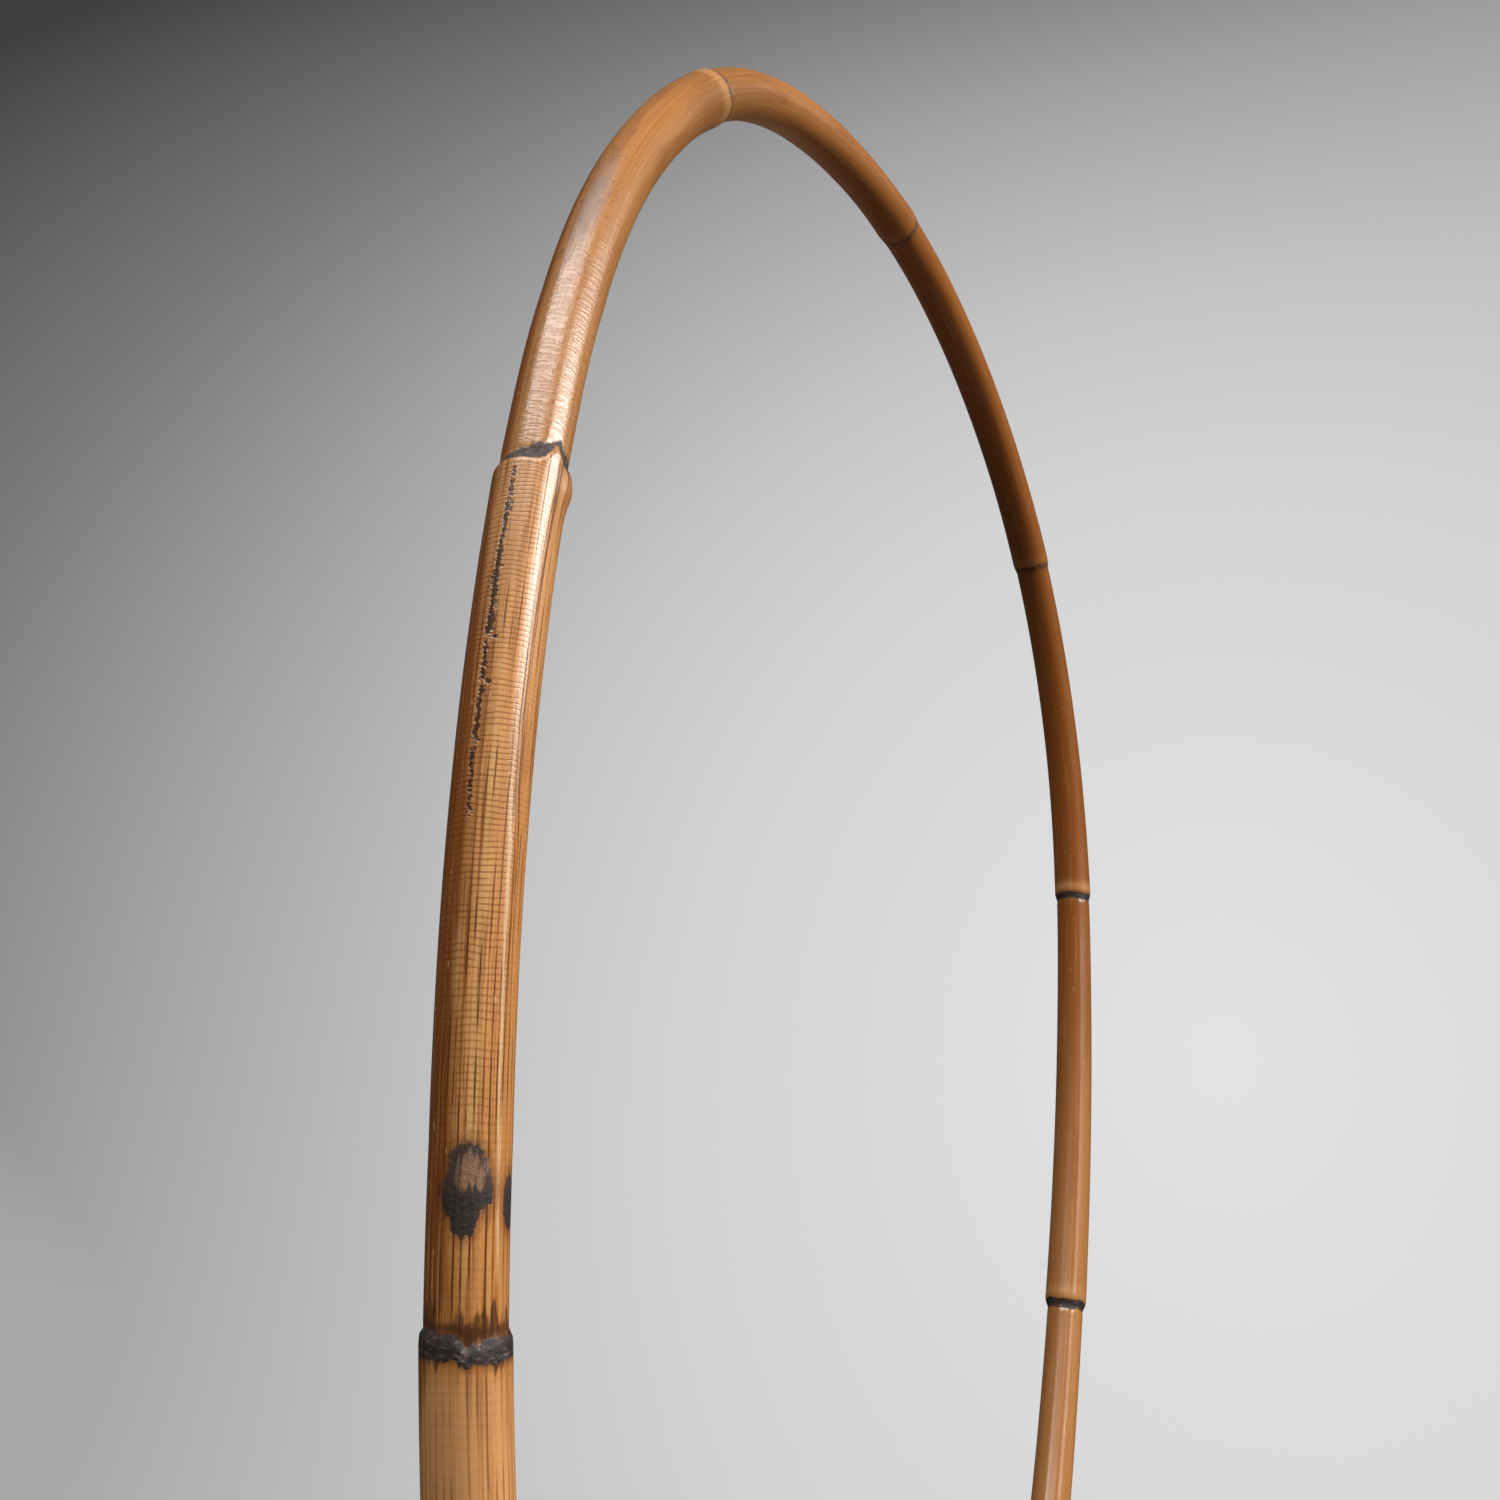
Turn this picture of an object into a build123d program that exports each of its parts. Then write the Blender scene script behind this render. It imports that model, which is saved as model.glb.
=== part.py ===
from build123d import *
from math import ceil, cos, dist, radians, sin, tan
import os

# Handled bamboo flower basket with a loose water tube.
# Millimetres, +Z up, origin on the table under the middle of the basket.
# The handle stands in the XZ plane.

# Wall of the basket: a cone measured at the middle of the stakes
rim_height = 150.0
rim_radius = 74.6
wall_lean = 10.0
fit = 0.2

# Upright stakes
stake_count = 24
stake_width = 6.0
stake_thickness = 1.8
stake_foot = 1.5
stake_top_drop = 1.0

# Hoops of split bamboo that clamp the stakes at the foot and at the rim
hoop_thickness = 3.0
hoop_bevel = 1.2
foot_height = 14.0
rim_hoop_width = 11.0

# Floor of slats on two battens let into the inner foot hoop
floor_thickness = 3.0
slat_count = 9
slat_gap = 0.8
batten_width = 8.0
batten_thickness = 4.0
batten_spacing = 44.0

# Rows of flat strip woven in and out of the stakes
row_count = 12
row_gap = 2.9
row_clearance = 1.2
weaver_thickness = 1.0
weave_fit = 0.15
weave_bend = 0.6

# Handle: one cane bent by heat, thicker at the near foot than at the far one,
# with its bends named from the crown down to the foot
cane_near_diameter = 10.2
cane_far_diameter = 8.0
cane_flare = 0.9
node_bevel = 0.5
crown_turn = 27.2
shoulder_radius = 104.0
shoulder_turn = 35.8
side_radius = 152.5
side_turn = 26.4
leg_radius = 405.0
leg_turn = 19.3
flare_radius = 300.0
leg_rise = 2.0
leg_foot = 4.0
leg_seat = 3.6
leg_flat_runout = 45.0
# Joints of the cane, measured along it from the crown
node_stations = (-510, -414, -310, -206, -104, -13, 88, 177, 277, 374, 468)
bend_per_section = 10.0

# Bamboo pegs that pin each leg through the hoops
peg_diameter = 3.0
peg_fit = 0.1
peg_proud = 0.6
rim_peg_drop = 5.5
foot_peg_height = 7.0

# Lashings of thin peeled cane, shaved to six sides
lash_diameter = 1.8
lash_sides = 6
lash_turns = 3
lash_bend = 1.8

# Water tube cut from a culm, closed below by its joint
tube_radius = 35.0
tube_wall = 5.0
tube_floor = 9.0
tube_height = 128.0
tube_lip = 1.5
tube_cove = 3.0
tube_ridge = 1.2
tube_ridge_width = 9.0
tube_ridge_height = 11.0

os.makedirs("parts", exist_ok=True)

lean = radians(wall_lean)
stake_step = 360 / stake_count
stake_face = stake_thickness / 2
hoop_face = stake_face + fit
hoop_back = hoop_face + hoop_thickness
leg_offset = hoop_back + fit + leg_seat
leg_sides = (180, 0)
rim_hoop_bottom = rim_height - rim_hoop_width * cos(lean)
weave_start = foot_height + floor_thickness + row_clearance
weave_end = rim_hoop_bottom - fit - lash_diameter - row_clearance
row_pitch = (weave_end - weave_start + row_gap) / row_count
row_height = row_pitch - row_gap


def wall_radius(height):
    """Distance from the axis to the middle of the wall at a height."""
    return rim_radius - (rim_height - height) * tan(lean)


def wall_reach(height, offset):
    """Distance from the axis, level, to a face that lies an offset outside the middle of the wall."""
    return wall_radius(height) + offset / cos(lean)


def wall_point(height, offset):
    """Radius and height of the point square out from the wall at a height."""
    return wall_radius(height) + offset * cos(lean), height - offset * sin(lean)


def wall_plane(angle, height, offset=0.0):
    """Plane lying on the wall: X along the hoops, Y up the wall, Z outwards."""
    radius, level = wall_point(height, offset)
    turn = radians(angle)
    return Plane(
        origin=(radius * cos(turn), radius * sin(turn), level),
        x_dir=(-sin(turn), cos(turn), 0),
        z_dir=(cos(lean) * cos(turn), cos(lean) * sin(turn), -sin(lean)),
    )


def finish(builder, name):
    """Label a finished piece and write it as one file."""
    builder.part.label = name
    export_step(builder.part, f"parts/{name}.step")


def wind_cane(corners):
    """Carry the thin cane along the corners of its winding, mitred at each corner."""
    with BuildPart() as winding:
        with BuildLine():
            Polyline(*corners)
        with BuildSketch(Plane(origin=corners[0], z_dir=corners[1] - corners[0])):
            RegularPolygon(lash_diameter / 2, lash_sides)
        sweep(transition=Transition.RIGHT)
    return winding


def least_turn_gap(corners, corners_per_turn):
    """Narrowest gap between one turn of a winding and the next, measured at its corners."""
    spans = [dist(tuple(a), tuple(b)) for a, b in zip(corners, corners[corners_per_turn:])]
    return min(spans) - lash_diameter


# Peg holes: one drill set, taken out of every piece that the pegs pin
peg_heights = (rim_height - rim_peg_drop, foot_peg_height)
with BuildPart() as peg_drills:
    for side in leg_sides:
        for height in peg_heights:
            with BuildSketch(wall_plane(side, height)):
                Circle(peg_diameter / 2 + peg_fit)
            extrude(amount=leg_offset + cane_near_diameter, both=True)

# Stakes: straight splints set round the cone, drilled where the handle is pegged
stake_top = rim_height - stake_top_drop
with BuildPart() as stake:
    with BuildSketch(wall_plane(0, (stake_foot + stake_top) / 2)):
        Rectangle(stake_width, (stake_top - stake_foot) / cos(lean))
    extrude(amount=stake_face, both=True)
with BuildPart() as stakes:
    with PolarLocations(0, stake_count):
        add(stake.part)
    add(peg_drills.part, mode=Mode.SUBTRACT)
finish(stakes, "stakes")

# Foot hoops: an outer and an inner ring that stand on the table and clamp the stakes
with BuildPart() as foot_outer_hoop:
    with BuildSketch(Plane.XZ):
        Polygon(
            (wall_reach(0, hoop_face), 0),
            (wall_reach(0, hoop_back), 0),
            (wall_reach(foot_height - hoop_bevel, hoop_back), foot_height - hoop_bevel),
            (wall_reach(foot_height, hoop_back) - hoop_bevel, foot_height),
            (wall_reach(foot_height, hoop_face), foot_height),
            align=None,
        )
    revolve(axis=Axis.Z)
    add(peg_drills.part, mode=Mode.SUBTRACT)
finish(foot_outer_hoop, "foot_outer_hoop")

batten_bottom = foot_height - batten_thickness
with BuildPart() as foot_inner_hoop:
    with BuildSketch(Plane.XZ):
        Polygon(
            (wall_reach(0, -hoop_back), 0),
            (wall_reach(0, -hoop_face), 0),
            (wall_reach(foot_height, -hoop_face), foot_height),
            (wall_reach(foot_height, -hoop_back), foot_height),
            align=None,
        )
    revolve(axis=Axis.Z)
    with BuildSketch(Plane.XY.offset(batten_bottom)):
        with GridLocations(0, batten_spacing, 1, 2):
            Rectangle(2 * rim_radius, batten_width + 2 * fit)
    extrude(amount=foot_height, mode=Mode.SUBTRACT)
    add(peg_drills.part, mode=Mode.SUBTRACT)
finish(foot_inner_hoop, "foot_inner_hoop")

# Floor: slats side by side, trimmed round, on two battens set in the hoop's notches
floor_radius = wall_reach(foot_height, -hoop_face)
slat_pitch = 2 * floor_radius / slat_count
with BuildPart() as floor_slats:
    with BuildSketch(Plane.XY.offset(foot_height)):
        Circle(floor_radius)
        with GridLocations(slat_pitch, 0, slat_count - 1, 1):
            Rectangle(slat_gap, 2 * floor_radius, mode=Mode.SUBTRACT)
    extrude(amount=floor_thickness)
finish(floor_slats, "floor_slats")

with BuildPart() as floor_battens:
    with BuildSketch(Plane.XY.offset(batten_bottom)):
        with GridLocations(0, batten_spacing, 1, 2):
            Rectangle(2 * rim_radius, batten_width)
        Circle(wall_reach(batten_bottom, -hoop_face), mode=Mode.INTERSECT)
    extrude(amount=batten_thickness)
finish(floor_battens, "floor_battens")


# Weavers: each row is one strip that passes outside a stake and inside the next
def weave_outline(height, row, side):
    """Corners of one face of a row's strip: level across each stake, slanting between stakes."""
    swing = stake_face + weave_fit + weaver_thickness / 2
    half_flat = stake_width / 2 + weave_bend
    corners = []
    for index in range(stake_count):
        turn = radians(index * stake_step)
        out = 1 if (index + row) % 2 == 0 else -1
        radius = wall_reach(height, out * swing + side * weaver_thickness / 2)
        for along in (-half_flat, half_flat):
            corners.append((radius * cos(turn) - along * sin(turn), radius * sin(turn) + along * cos(turn)))
    return corners


for row in range(row_count):
    row_bottom = weave_start + row * row_pitch
    row_levels = (row_bottom, row_bottom + row_height)
    with BuildPart() as weaver:
        for side, mode in ((1, Mode.ADD), (-1, Mode.SUBTRACT)):
            for level in row_levels:
                with BuildSketch(Plane.XY.offset(level)):
                    Polygon(*weave_outline(level, row, side), align=None)
            loft(ruled=True, mode=mode)
    finish(weaver, f"weaver_{row + 1:02d}")

# Rim hoops: two bands laid square to the wall, bevelled where the lashing bends over them
with BuildPart() as rim_outer_hoop:
    with BuildSketch(Plane.XZ):
        Polygon(
            wall_point(rim_height, hoop_face),
            wall_point(rim_height, hoop_back - hoop_bevel),
            wall_point(rim_height - hoop_bevel * cos(lean), hoop_back),
            wall_point(rim_hoop_bottom + hoop_bevel * cos(lean), hoop_back),
            wall_point(rim_hoop_bottom, hoop_back - hoop_bevel),
            wall_point(rim_hoop_bottom, hoop_face),
            align=None,
        )
    revolve(axis=Axis.Z)
    add(peg_drills.part, mode=Mode.SUBTRACT)
finish(rim_outer_hoop, "rim_outer_hoop")

with BuildPart() as rim_inner_hoop:
    with BuildSketch(Plane.XZ):
        Polygon(
            wall_point(rim_height, -hoop_face),
            wall_point(rim_hoop_bottom, -hoop_face),
            wall_point(rim_hoop_bottom, -hoop_back + hoop_bevel),
            wall_point(rim_hoop_bottom + hoop_bevel * cos(lean), -hoop_back),
            wall_point(rim_height - hoop_bevel * cos(lean), -hoop_back),
            wall_point(rim_height, -hoop_back + hoop_bevel),
            align=None,
        )
    revolve(axis=Axis.Z)
    add(peg_drills.part, mode=Mode.SUBTRACT)
finish(rim_inner_hoop, "rim_inner_hoop")

# Rim lashing: thin cane wound round both hoops, one turn through each gap between stakes.
# It drops straight down outside, passes under the hoops, rises inside and moves on over the top.
lash_lift = fit + lash_diameter / 2
lash_half_width = hoop_back + lash_lift
lash_half_height = rim_hoop_width / 2 + lash_lift
bend_out = 1 - lash_bend / lash_half_width
bend_up = 1 - lash_bend / lash_half_height
lash_turn = (
    (1, bend_up, 0.0),
    (1, -bend_up, 0.0),
    (bend_out, -1, 0.0),
    (-bend_out, -1, 0.0),
    (-1, -bend_up, 0.02),
    (-1, bend_up, 0.25),
    (-bend_out, 1, 0.3),
    (bend_out, 1, 0.95),
)
rim_middle = (rim_height + rim_hoop_bottom) / 2
rim_lash_corners = []
for turn_index in range(stake_count):
    for out, up, moved in lash_turn:
        place = wall_plane(
            (turn_index + 0.5 + moved) * stake_step,
            rim_middle + up * lash_half_height * cos(lean),
            out * lash_half_width,
        )
        rim_lash_corners.append(place.origin)
rim_lashing = wind_cane(rim_lash_corners)
finish(rim_lashing, "rim_lashing")
rim_lash_gap = least_turn_gap(rim_lash_corners, len(lash_turn))
print(f"rim lashing: least gap between turns {rim_lash_gap:.1f} mm")

# Handle: the path is drawn flat, across the basket and up, from the near foot to the far foot.
# The crown's radius closes the arch over the basket.
crown_heading = radians(crown_turn)
shoulder_heading = crown_heading + radians(shoulder_turn)
side_heading = shoulder_heading + radians(side_turn)
leg_heading = side_heading + radians(leg_turn)
seat_heading = radians(90 + wall_lean)
flare_turn = crown_turn + shoulder_turn + side_turn + leg_turn - 90 - wall_lean
leg_start = wall_point(leg_foot, leg_offset)
leg_end = wall_point(rim_height + leg_rise, leg_offset)
crown_radius = (
    leg_end[0]
    - flare_radius * (sin(leg_heading) - sin(seat_heading))
    - leg_radius * (sin(leg_heading) - sin(side_heading))
    - side_radius * (sin(side_heading) - sin(shoulder_heading))
    - shoulder_radius * (sin(shoulder_heading) - sin(crown_heading))
) / sin(crown_heading)
half_bends = (
    (flare_radius, flare_turn),
    (leg_radius, -leg_turn),
    (side_radius, -side_turn),
    (shoulder_radius, -shoulder_turn),
    (crown_radius, -crown_turn),
)
with BuildLine() as cane_line:
    bend = Line((-leg_start[0], leg_start[1]), (-leg_end[0], leg_end[1]))
    for radius, turn in half_bends + half_bends[::-1]:
        bend = JernArc(start=bend @ 1, tangent=bend % 1, radius=radius, arc_size=turn)
    Line(bend @ 1, (leg_start[0], leg_start[1]))
cane_path = cane_line.wire()


def cane_plane(station):
    """Plane square across the cane at a distance along it from the near foot."""
    place = cane_path.position_at(station, position_mode=PositionMode.LENGTH)
    heading = cane_path.tangent_at(station, position_mode=PositionMode.LENGTH)
    return Plane(origin=(place.X, 0, place.Y), x_dir=(0, 1, 0), z_dir=(heading.X, 0, heading.Y))


def cane_radius(station, swell):
    """Radius at a distance from the near foot: an even taper, and a swell from 0 after a joint to 1 before the next."""
    taper = (cane_far_diameter - cane_near_diameter) * station / cane_path.length
    return (cane_near_diameter + taper + cane_flare * (swell - 0.5)) / 2


def bend_between(start, end):
    """Degrees that the cane turns between two places along it."""
    return cane_plane(start).z_dir.get_angle(cane_plane(end).z_dir)


# Each internode swells towards its far joint, then steps down to the next one.
crown_station = cane_path.length / 2
joints = [0.0]
joints += [crown_station + place for place in node_stations if abs(place) < crown_station - cane_near_diameter]
joints += [cane_path.length]
with BuildPart() as handle_cane:
    for start, end in zip(joints, joints[1:]):
        spans = 2 + ceil(bend_between(start, end) / bend_per_section)
        for section in range(spans + 1):
            share = section / spans
            place = start + (end - start) * share
            with BuildSketch(cane_plane(place)):
                Circle(cane_radius(place, share**2))
        loft(ruled=True)
    for joint in joints[1:-1]:
        for past, cut in ((0, 0), (node_bevel, node_bevel / 2)):
            with BuildSketch(cane_plane(joint + past)):
                Circle(cane_radius(joint, 1) - cut)
        loft(ruled=True)
    flat_top = rim_height + leg_rise + leg_flat_runout
    for side in leg_sides:
        with BuildSketch(wall_plane(side, flat_top / 2, hoop_back + fit)):
            Rectangle(2 * cane_near_diameter, flat_top / cos(lean) + cane_near_diameter)
        extrude(amount=-cane_near_diameter, mode=Mode.SUBTRACT)
    add(peg_drills.part, mode=Mode.SUBTRACT)
finish(handle_cane, "handle_cane")

# Thickest radius of each leg between the foot and the rim: the near leg's at the foot, the far leg's at the rim
leg_girth = {180: cane_radius(0, 1), 0: cane_radius(cane_path.length - rim_height, 1)}

# Pegs: driven through leg, hoops and stake, proud at both ends
peg_inner = -hoop_back - peg_proud
with BuildPart() as handle_pegs:
    for side in leg_sides:
        for height in peg_heights:
            with BuildSketch(wall_plane(side, height, peg_inner)):
                Circle(peg_diameter / 2)
            extrude(amount=leg_offset + leg_girth[side] + peg_proud - peg_inner)
finish(handle_pegs, "handle_pegs")


# Handle lashings: each winds round the leg and the stake behind it, level through the gaps
# between rows and climbing one row across the face of the leg
face_step = 45


def leg_lash_corners(side, first_gap):
    """Corners of one lashing, from the back of the stake round the leg and back, row by row."""
    turn = radians(side)
    radial = Vector(cos(turn), sin(turn), 0)
    sideways = Vector(-sin(turn), cos(turn), 0)
    face_reach = (leg_girth[side] + lash_lift) / cos(radians(face_step / 2))
    back_half = stake_width / 2 + weave_bend + lash_diameter / 2
    corners = []
    for turn_index in range(lash_turns + 1):
        gap_level = weave_start + (first_gap + turn_index) * row_pitch - row_gap / 2
        back = wall_reach(gap_level, -stake_face - lash_lift)
        for along in (-back_half, back_half):
            corners.append(radial * back + sideways * along + Vector(0, 0, gap_level))
        if turn_index == lash_turns:
            break
        for face in range(90, -91, -face_step):
            level = gap_level + row_pitch * (90 - face) / 180
            out = radial * cos(radians(face)) + sideways * sin(radians(face))
            axis = radial * wall_reach(level, leg_offset) + Vector(0, 0, level)
            corners.append(axis + out * face_reach)
    return corners


lash_places = (("near", 180), ("far", 0))
lash_gaps = (("lower", 1), ("upper", row_count - 1 - lash_turns))
corners_per_turn = 180 // face_step + 3
for place_name, side in lash_places:
    for gap_name, first_gap in lash_gaps:
        lash_corners = leg_lash_corners(side, first_gap)
        handle_lashing = wind_cane(lash_corners)
        finish(handle_lashing, f"handle_lashing_{place_name}_{gap_name}")
        leg_lash_gap = least_turn_gap(lash_corners, corners_per_turn)
        print(f"{place_name} {gap_name} lashing: least gap between turns {leg_lash_gap:.1f} mm")

# Water tube: a culm section with its joint as the floor, standing loose on the slats
tube_bottom = foot_height + floor_thickness
tube_top = tube_bottom + tube_height
bore_radius = tube_radius - tube_wall
ridge_middle = tube_bottom + tube_ridge_height
with BuildPart() as water_tube:
    with BuildSketch(Plane.XZ):
        Polygon(
            (0, tube_bottom),
            (tube_radius, tube_bottom),
            (tube_radius, ridge_middle - tube_ridge_width / 2),
            (tube_radius + tube_ridge, ridge_middle - tube_ridge_width / 6),
            (tube_radius + tube_ridge, ridge_middle + tube_ridge_width / 6),
            (tube_radius, ridge_middle + tube_ridge_width / 2),
            (tube_radius, tube_top - tube_lip),
            (tube_radius - tube_lip, tube_top),
            (bore_radius + tube_lip, tube_top),
            (bore_radius, tube_top - tube_lip),
            (bore_radius, tube_bottom + tube_floor + tube_cove),
            (bore_radius - tube_cove, tube_bottom + tube_floor),
            (0, tube_bottom + tube_floor),
            align=None,
        )
    revolve(axis=Axis.Z)
finish(water_tube, "water_tube")
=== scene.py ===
import math

import bpy
import numpy as np
from mathutils import Matrix


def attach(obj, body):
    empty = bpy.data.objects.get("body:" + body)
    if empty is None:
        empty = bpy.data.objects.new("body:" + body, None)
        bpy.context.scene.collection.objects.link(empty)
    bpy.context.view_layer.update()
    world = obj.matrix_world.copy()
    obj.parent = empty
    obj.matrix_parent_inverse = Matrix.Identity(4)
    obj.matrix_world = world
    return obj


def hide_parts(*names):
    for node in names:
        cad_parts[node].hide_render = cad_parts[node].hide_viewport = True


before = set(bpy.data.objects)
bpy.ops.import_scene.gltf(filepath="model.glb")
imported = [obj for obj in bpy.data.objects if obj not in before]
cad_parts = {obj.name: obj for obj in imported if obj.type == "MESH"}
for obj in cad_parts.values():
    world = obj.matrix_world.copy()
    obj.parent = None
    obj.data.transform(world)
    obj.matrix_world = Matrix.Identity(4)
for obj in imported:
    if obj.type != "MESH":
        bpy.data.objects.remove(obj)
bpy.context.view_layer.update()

# Stakes
# Upright splints of split bamboo that stand round the wall and lean outwards with it.
# They are shaved flat, with softened edges, and held by the hoops at foot and rim.
rim_height = 150.0
rim_radius = 74.6
lean = math.radians(10.0)
stake_count = 24
stake_width = 6.0
stake_thickness = 1.8
stake_edge = 0.5
stake_foot = 1.5
stake_top = 149.0
mm = 0.001
stake_colours = ((0.30, 0.125, 0.032), (0.135, 0.048, 0.013))
crease_angle = math.radians(50)
lacquer_roughness = 0.12


def wall_point(turn, height, offset):
    """Point square out from the cone of the wall: radius grows with height, offset is across the wall."""
    radius = rim_radius - (rim_height - height) * math.tan(lean) + offset * math.cos(lean)
    level = height - offset * math.sin(lean)
    return np.stack(np.broadcast_arrays(radius * np.cos(turn), radius * np.sin(turn), level), axis=-1)


def rounded_section(width, thickness, edge, crown=0.0, steps=4):
    """Outline of a strip: a rectangle with quarter-round corners, and an outer face raised by a parabola."""
    quarter = np.linspace(0, math.pi / 2, steps)
    starts = np.arange(4)[:, None] * math.pi / 2
    middle = np.array([[1, 1], [-1, 1], [-1, -1], [1, -1]]) * (width / 2 - edge, thickness / 2 - edge)
    across = middle[:, :1] + edge * np.cos(starts + quarter)
    out = middle[:, 1:] + edge * np.sin(starts + quarter)
    across, out = across.ravel(), out.ravel()
    return across, out + np.where(out > 0, crown * (1 - (2 * across / width) ** 2), 0)


def add_surface(name, points, grain, ring=False):
    """Mesh of tubes from points (pieces, stations, corners, 3) in mm.

    Corners join round and stations join along. A ring joins its last station to its first,
    and an open tube is capped at both ends.
    """
    pieces, stations, corners, _ = points.shape
    index = np.arange(pieces * stations * corners).reshape(pieces, stations, corners)
    here = index if ring else index[:, :-1]
    ahead = np.roll(index, -1, axis=1) if ring else index[:, 1:]
    quads = np.stack([here, np.roll(here, -1, axis=2), np.roll(ahead, -1, axis=2), ahead], axis=-1)
    quads = quads.reshape(-1, 4)
    corner = points.reshape(-1, 3)[quads]
    volume = np.einsum("ij,ij->", corner[:, 0], np.cross(corner[:, 1], corner[:, 2]))
    volume += np.einsum("ij,ij->", corner[:, 0], np.cross(corner[:, 2], corner[:, 3]))
    faces = quads.tolist()
    if not ring:
        faces += index[:, 0, ::-1].tolist() + index[:, -1].tolist()
    mesh = bpy.data.meshes.new(name)
    mesh.from_pydata((points.reshape(-1, 3) * mm).tolist(), [], faces)
    if volume < 0:
        mesh.flip_normals()
    grain_mark = mesh.attributes.new("grain", "FLOAT_VECTOR", "POINT")
    grain_mark.data.foreach_set("vector", grain.astype(np.float32).ravel())
    mesh.polygons.foreach_set("use_smooth", np.ones(len(mesh.polygons), bool))
    mesh.set_sharp_from_angle(angle=crease_angle)
    piece = bpy.data.objects.new(name, mesh)
    bpy.context.scene.collection.objects.link(piece)
    return piece


def add_node(tree, kind, sockets=None, **settings):
    """One shader node with its settings, its sockets set to numbers or linked to other nodes' outputs."""
    node = tree.nodes.new(kind)
    for key, value in settings.items():
        setattr(node, key, value)
    for key, value in (sockets or {}).items():
        if isinstance(value, bpy.types.NodeSocket):
            tree.links.new(value, node.inputs[key])
        else:
            node.inputs[key].default_value = value
    return node


def colour_mix(tree, amount, first, second):
    """Colour between two others by an amount, each of them a colour or another node's output."""
    node = add_node(tree, "ShaderNodeMix", data_type="RGBA")
    for index, value in ((0, amount), (6, first), (7, second)):
        if isinstance(value, bpy.types.NodeSocket):
            tree.links.new(value, node.inputs[index])
        else:
            node.inputs[index].default_value = value if index == 0 else (*value, 1.0)
    return node.outputs[2]


def smooth_step(tree, value, low, high):
    """Zero below low, one above high and a smooth rise between."""
    sockets = {"Value": value, "From Min": low, "From Max": high}
    return add_node(tree, "ShaderNodeMapRange", sockets, interpolation_type="SMOOTHSTEP").outputs["Result"]


def new_finish(name, roughness, coat=0.0):
    """Empty material with its shader, lacquered by a clear coat where the real piece is."""
    finish = bpy.data.materials.new(name)
    finish.use_nodes = True
    shader = finish.node_tree.nodes["Principled BSDF"]
    shader.inputs["Roughness"].default_value = roughness
    shader.inputs["Coat Weight"].default_value = coat
    shader.inputs["Coat Roughness"].default_value = lacquer_roughness
    return finish, finish.node_tree, shader


def drawn_noise(tree, grain, stretch, detail):
    """Noise drawn out along a grain, which it multiplies by a stretch along and across."""
    drawn = add_node(tree, "ShaderNodeVectorMath", {0: grain, 1: stretch}, operation="MULTIPLY").outputs[0]
    sockets = {"Vector": drawn, "Scale": 1.0, "Detail": detail}
    return add_node(tree, "ShaderNodeTexNoise", sockets).outputs["Fac"]


def add_relief(tree, shader, height):
    """Relief of a fraction of a millimetre from a height of about one."""
    bump = add_node(tree, "ShaderNodeBump", {"Height": height, "Strength": 0.35, "Distance": 0.0002})
    tree.links.new(bump.outputs["Normal"], shader.inputs["Normal"])


def split_bamboo(name, pale, deep, roughness, coat=0.0, run=None, furrow=0.45):
    """Bamboo strip: fine fibres drawn out along the grain, with slow changes of tone between pieces.

    Made surfaces carry their own grain in centimetres, along first, and CAD pieces give the axis it runs on.
    The furrow is how dark the lines between fibres are.
    """
    finish, tree, shader = new_finish(name, roughness, coat)
    if run is None:
        grain = add_node(tree, "ShaderNodeAttribute", attribute_name="grain").outputs["Vector"]
        fine, slow = (0.6, 16.0, 16.0), (0.25, 1.2, 1.2)
    else:
        grain = add_node(tree, "ShaderNodeTexCoord").outputs["Object"]
        fine = [60.0 if axis == run else 1600.0 for axis in "XYZ"]
        slow = [25.0 if axis == run else 120.0 for axis in "XYZ"]
    fibre = drawn_noise(tree, grain, fine, 3.0)
    tone = drawn_noise(tree, grain, slow, 2.0)
    colour = colour_mix(tree, smooth_step(tree, tone, 0.32, 0.68), deep, pale)
    colour = colour_mix(tree, smooth_step(tree, fibre, 0.62, 0.38), colour, [c * furrow for c in deep])
    tree.links.new(colour, shader.inputs["Base Color"])
    add_relief(tree, shader, fibre)
    return finish


def fit_piece(piece, finish, body, slot_name, *cad_nodes):
    """Gives a made piece its finish and its body, and hides the CAD nodes it stands for; the slot name is not
    used.
    """
    piece.data.materials.append(finish)
    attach(piece, body)
    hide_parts(*cad_nodes)
    return piece


stake_finish = split_bamboo("stake_splint", *stake_colours, roughness=0.42, coat=0.15)
across, out = rounded_section(stake_width, stake_thickness, stake_edge)
stake_turn = (np.arange(stake_count) * 2 * math.pi / stake_count)[:, None, None]
stake_level = np.linspace(stake_foot, stake_top, 8)[None, :, None]
stake_points = wall_point(stake_turn, stake_level, out[None, None, :])
stake_side = np.concatenate([-np.sin(stake_turn), np.cos(stake_turn), np.zeros_like(stake_turn)], axis=-1)
stake_points = stake_points + across[None, None, :, None] * stake_side[:, :, None, :]
stake_along = stake_level / 10 + 7.3 * stake_turn
stake_across = across / 10 + 3.1 * stake_turn
stake_grain = np.stack(np.broadcast_arrays(stake_along, stake_across, out / 10), axis=-1)
stakes = add_surface("stakes_shaved", stake_points, stake_grain)
fit_piece(stakes, stake_finish, "basket", "stake_splint", "stakes")

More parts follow.
